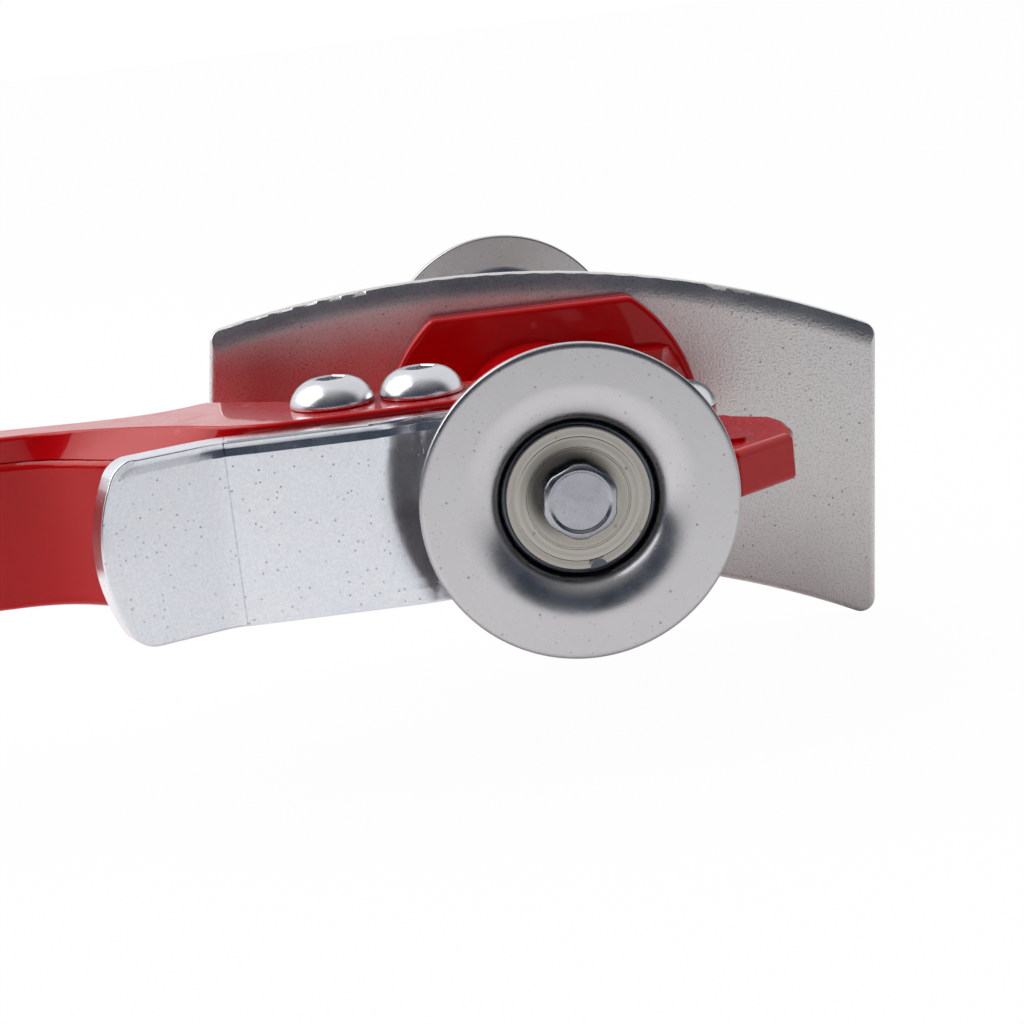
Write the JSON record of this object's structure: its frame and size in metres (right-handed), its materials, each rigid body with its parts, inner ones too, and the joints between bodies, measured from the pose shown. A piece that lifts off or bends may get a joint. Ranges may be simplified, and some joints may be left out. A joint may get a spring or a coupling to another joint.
{
  "type": "lever can opener",
  "caption": "Heavy lever can opener head: red arm, cross axle with dished steel guide rollers, a rocking arched rim guide and a bent finger lever",
  "frame": {"origin": "on the cross axle's centre line, at the front face of the arched rim guide", "axes": "+X runs along the arm from the handle towards the nose, +Y along the axle from the front roller to the rear roller, +Z is square to the arm's top plate, upwards"},
  "size_m": [0.285, 0.1814, 0.0822],
  "materials": {
    "red_casting": "deep gloss red enamel over a smooth casting",
    "red_plate": "deep gloss red enamel on steel plate",
    "red_tube": "deep gloss red enamel on tube",
    "red_flange": "deep gloss red enamel on a flat flange",
    "polished_steel": "polished stainless screw heads",
    "zinc_fasteners": "bright zinc plated fasteners",
    "black_steel": "black oxide steel",
    "ground_steel": "ground bearing steel",
    "bronze": "plain bearing bronze",
    "zinc_tube": "bright zinc plated tube",
    "turned_steel": "turned steel with fine rings",
    "roller_steel": "satin pressed steel with fine specks",
    "hub_steel": "turned steel hub",
    "blasted_steel": "bead blasted steel, fine orange peel",
    "zinc_lever": "bright bluish zinc plating"
  },
  "bodies": {
    "frame": {"handle_casting": "red_casting", "top_plate": "red_plate", "axle_tube": "red_tube", "flange_bracket": "red_flange", "button_screws": "polished_steel", "lock_nuts": "zinc_fasteners", "plate_rivets": "polished_steel", "hanging_eyelet": "zinc_fasteners", "grub_screw": "black_steel", "axle_shaft": "ground_steel", "lever_spacer": "ground_steel", "lever_stop_pin": "ground_steel", "guide_stop_pin": "ground_steel", "guide_thrust_washer": "bronze", "rear_spacer_tube": "zinc_tube", "front_bolt": "zinc_fasteners", "rear_bolt": "zinc_fasteners", "front_washer": "turned_steel", "rear_washer": "turned_steel", "front_bearing_inner_race": "ground_steel", "rear_bearing_inner_race": "ground_steel"},
    "front_roller": {"front_roller_disc": "roller_steel", "front_roller_hub": "hub_steel", "front_bearing_outer_race": "ground_steel", "front_bearing_balls": "ground_steel", "front_bearing_cage": "bronze"},
    "rear_roller": {"rear_roller_disc": "roller_steel", "rear_roller_hub": "hub_steel", "rear_bearing_outer_race": "ground_steel", "rear_bearing_balls": "ground_steel", "rear_bearing_cage": "bronze"},
    "rim_guide": {"arched_plate": "blasted_steel", "guide_bush": "bronze"},
    "lever": {"lever_bar": "zinc_lever", "lever_bush": "bronze"}
  },
  "joints": [
    {"name": "front_roller_spin", "type": "hinge", "parent": "frame", "child": "front_roller", "pos_m": [0, -0.0725, 0], "axis": [0, 1, 0], "continuous": true},
    {"name": "rear_roller_spin", "type": "hinge", "parent": "frame", "child": "rear_roller", "pos_m": [0, 0.097, 0], "axis": [0, 1, 0], "continuous": true},
    {"name": "guide_rock", "type": "hinge", "parent": "frame", "child": "rim_guide", "pos_m": [0, 0.0025, 0], "axis": [0, 1, 0], "range_deg": [-8, 8]},
    {"name": "lever_pivot", "type": "hinge", "parent": "frame", "child": "lever", "pos_m": [0, -0.0651, 0], "axis": [0, 1, 0], "range_deg": [0, 60]}
  ]
}
